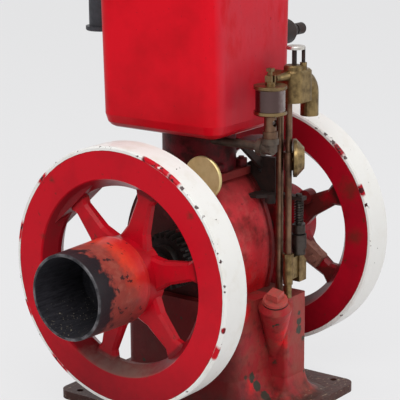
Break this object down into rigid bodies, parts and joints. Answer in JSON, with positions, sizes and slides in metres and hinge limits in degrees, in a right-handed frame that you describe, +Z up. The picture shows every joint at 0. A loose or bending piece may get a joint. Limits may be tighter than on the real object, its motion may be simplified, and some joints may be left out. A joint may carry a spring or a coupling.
{
  "type": "stationary gas engine",
  "caption": "Small vertical hopper-cooled stationary gas engine with spoked flywheels, a hollow belt pulley, brass fuel fittings and a drip oiler on a flared cast base.",
  "frame": {"origin": "middle of the underside of the base, on the floor", "axes": "+Z up, X along the crankshaft with the belt pulley at -X, the brass fittings face -Y"},
  "size_m": [0.5813, 0.4067, 0.754],
  "materials": {
    "red_enamel": "glossy red machine enamel, rubbed and chalky in places",
    "base_enamel": "faded red enamel, chipped and greasy",
    "wheel_enamel": "red enamel with a white rim",
    "pad_paint": "thin faded red paint",
    "pulley_paint": "worn paint over greasy iron",
    "aged_brass": "dull brown brass",
    "bare_brass": "plain brass, lightly tarnished",
    "black_iron": "black iron, oily",
    "oiled_steel": "oily dark steel",
    "pale_steel": "pale machined steel"
  },
  "bodies": {
    "frame": {"crankcase": "red_enamel", "main_bearing_near": "red_enamel", "main_bearing_far": "red_enamel", "cylinder": "red_enamel", "cylinder_head": "red_enamel", "water_hopper": "red_enamel", "base": "base_enamel", "filler_plug": "pad_paint", "mixer_body": "aged_brass", "mixer_cap": "aged_brass", "feed_tube": "aged_brass", "return_tube": "aged_brass", "strainer_dish": "aged_brass", "pump_body": "aged_brass", "oiler_sight": "aged_brass", "oiler_cup": "aged_brass", "oiler_lid": "aged_brass", "brass_disc": "bare_brass", "muffler": "black_iron", "exhaust_pipe": "black_iron", "igniter": "black_iron", "oiler_pipe": "black_iron", "mixer_post": "black_iron", "mixer_stop": "black_iron", "governor_bracket": "black_iron", "governor_arm": "black_iron", "pump_bracket": "black_iron", "pump_barrel": "oiled_steel", "pump_spring": "oiled_steel", "mixer_plate": "pale_steel"},
    "crank": {"crankshaft": "oiled_steel", "near_flywheel": "wheel_enamel", "far_flywheel": "wheel_enamel", "flywheel_pad": "pad_paint", "belt_pulley": "pulley_paint", "crank_gear": "oiled_steel"},
    "oiler_lever": {"oiler_lever": "aged_brass"},
    "plunger": {"pump_plunger": "oiled_steel"}
  },
  "joints": [
    {"name": "crank_turn", "type": "hinge", "parent": "frame", "child": "crank", "pos_m": [0, 0, 0.252], "axis": [1, 0, 0], "continuous": true},
    {"name": "oiler_lever_flip", "type": "hinge", "parent": "frame", "child": "oiler_lever", "pos_m": [-0.028, -0.142, 0.543], "axis": [1, 0, 0], "range_deg": [0, 90]},
    {"name": "plunger_slide", "type": "slide", "parent": "frame", "child": "plunger", "axis": [0, 0, 1], "range_m": [0, 0.008], "stiffness_N_per_m": 500, "springref_m": -0.01, "deforming": ["pump_spring"]}
  ]
}
